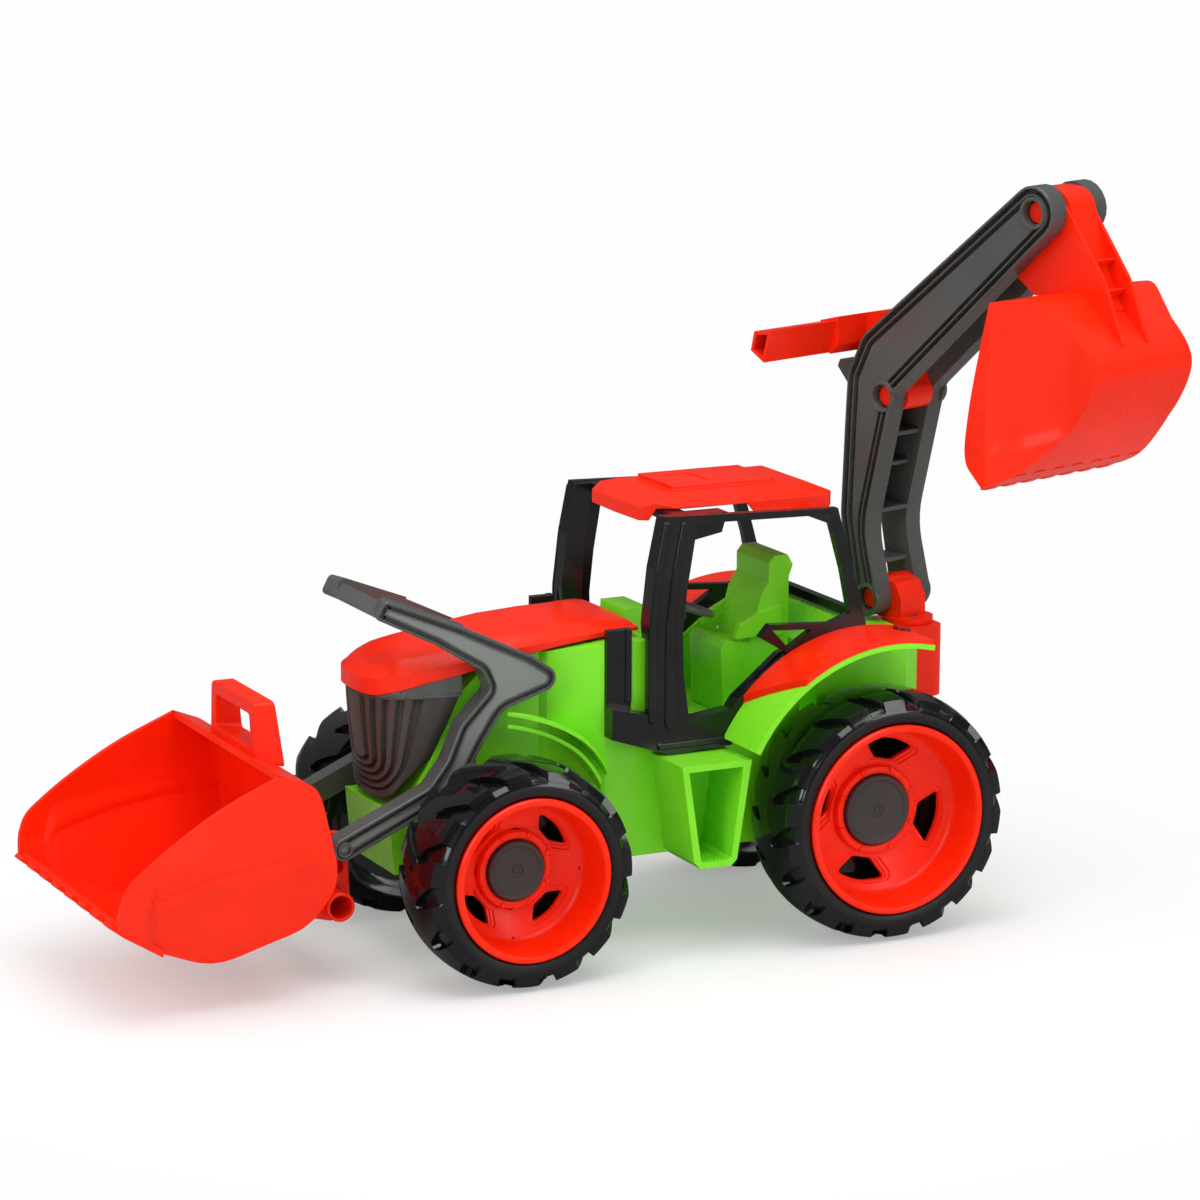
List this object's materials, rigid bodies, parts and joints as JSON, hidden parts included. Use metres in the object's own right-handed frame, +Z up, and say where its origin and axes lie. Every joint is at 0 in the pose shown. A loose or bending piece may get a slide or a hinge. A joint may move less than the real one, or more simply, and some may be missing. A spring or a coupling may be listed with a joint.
{
  "type": "toy backhoe loader",
  "caption": "Plastic toy tractor with a tipping front loader bucket on lever arms, an open cab, and a slewing rear digging arm whose bucket curls with a hand lever.",
  "frame": {"origin": "on the ground plane, on the centre plane, directly under the rear axle", "axes": "+X forwards, +Y to the tractor's left, +Z up"},
  "size_m": [0.7074, 0.3263, 0.491],
  "materials": {
    "green": "bright yellow-green moulded plastic, gloss",
    "red": "bright orange-red moulded plastic, gloss",
    "black": "black moulded plastic, gloss",
    "dark_grey": "dark grey moulded plastic, satin gloss",
    "grille_grey": "dark grey moulded plastic, satin",
    "tyre_black": "hard black blow-moulded plastic, gloss",
    "cap_grey": "dark grey moulded plastic, matt",
    "clear_lens": "clear plastic lens",
    "tail_lens": "dark red plastic lens",
    "steel": "plain steel"
  },
  "bodies": {
    "tractor": {"chassis": "green", "underbody_plate": "green", "hood": "red", "grille": "grille_grey", "headlight_left": "clear_lens", "headlight_right": "clear_lens", "vent_left": "black", "vent_right": "black", "cab_frame": "black", "roof": "red", "roof_hatch": "red", "seat": "green", "steering_column": "black", "fender_cover_left": "red", "fender_cover_right": "red", "tail_light_left": "tail_lens", "tail_light_right": "tail_lens", "front_axle": "steel", "rear_axle": "steel", "axle_nuts": "steel", "loader_pivot_pins": "dark_grey", "backhoe_housing": "red", "body_screws": "steel", "housing_screws": "steel"},
    "steering": {"steering_wheel": "dark_grey"},
    "wheel_front_left": {"tyre_front_left": "tyre_black", "rim_front_left": "red", "hubcap_front_left": "cap_grey"},
    "wheel_front_right": {"tyre_front_right": "tyre_black", "rim_front_right": "red", "hubcap_front_right": "cap_grey"},
    "wheel_rear_left": {"tyre_rear_left": "tyre_black", "rim_rear_left": "red", "hubcap_rear_left": "cap_grey"},
    "wheel_rear_right": {"tyre_rear_right": "tyre_black", "rim_rear_right": "red", "hubcap_rear_right": "cap_grey"},
    "loader": {"loader_arm_left": "dark_grey", "loader_arm_right": "dark_grey", "loader_grip": "dark_grey", "scoop_tube": "dark_grey"},
    "scoop": {"loader_bucket": "red"},
    "slew": {"turret": "red", "slew_pin": "dark_grey"},
    "boom": {"boom": "dark_grey", "boom_foot_pin": "red", "boom_elbow_pin": "red", "boom_tip_pin": "red"},
    "lever": {"control_lever": "red", "rod_pin_lower": "steel"},
    "rod": {"push_rod": "dark_grey"},
    "digger": {"digging_bucket": "red", "rod_pin_upper": "steel"}
  },
  "joints": [
    {"name": "front_left_spin", "type": "hinge", "parent": "tractor", "child": "wheel_front_left", "pos_m": [0.26, 0, 0.073], "axis": [0, 1, 0], "continuous": true},
    {"name": "front_right_spin", "type": "hinge", "parent": "tractor", "child": "wheel_front_right", "pos_m": [0.26, 0, 0.073], "axis": [0, 1, 0], "continuous": true},
    {"name": "rear_left_spin", "type": "hinge", "parent": "tractor", "child": "wheel_rear_left", "pos_m": [0, 0, 0.083], "axis": [0, 1, 0], "continuous": true},
    {"name": "rear_right_spin", "type": "hinge", "parent": "tractor", "child": "wheel_rear_right", "pos_m": [0, 0, 0.083], "axis": [0, 1, 0], "continuous": true},
    {"name": "steering_turn", "type": "hinge", "parent": "tractor", "child": "steering", "pos_m": [0.124, 0, 0.139], "axis": [-0.3355, 0, 0.9421], "range_deg": [-180, 180]},
    {"name": "loader_lift", "type": "hinge", "parent": "tractor", "child": "loader", "pos_m": [0.238, 0, 0.184], "axis": [0, -1, 0], "range_deg": [-4, 62]},
    {"name": "scoop_tilt", "type": "hinge", "parent": "loader", "child": "scoop", "pos_m": [0.361, 0, 0.089], "axis": [0, 1, 0], "range_deg": [-20, 60]},
    {"name": "backhoe_slew", "type": "hinge", "parent": "tractor", "child": "slew", "pos_m": [-0.075, 0, 0.184], "axis": [0, 0, 1], "range_deg": [-8, 151]},
    {"name": "boom_tilt", "type": "hinge", "parent": "slew", "child": "boom", "pos_m": [-0.07059, -0.01329, 0.201], "axis": [-0.9492, -0.3148, 0], "range_deg": [-8, 35]},
    {"name": "digger_curl", "type": "hinge", "parent": "boom", "child": "digger", "pos_m": [-0.11385, 0.11713, 0.474], "axis": [-0.9492, -0.3148, 0], "range_deg": [0, 18]},
    {"name": "lever_swing", "type": "hinge", "parent": "boom", "child": "lever", "pos_m": [-0.07406, -0.00285, 0.34], "axis": [-0.9492, -0.3148, 0], "range_deg": [0, 18]},
    {"name": "rod_swing", "type": "hinge", "parent": "lever", "child": "rod", "pos_m": [-0.07108, -0.01183, 0.34892], "axis": [-0.9492, -0.3148, 0], "range_deg": [-18, 0]}
  ],
  "couplings": [
    {"joint": "lever_swing", "follows": "digger_curl", "ratio": 1},
    {"joint": "rod_swing", "follows": "digger_curl", "ratio": -1}
  ]
}
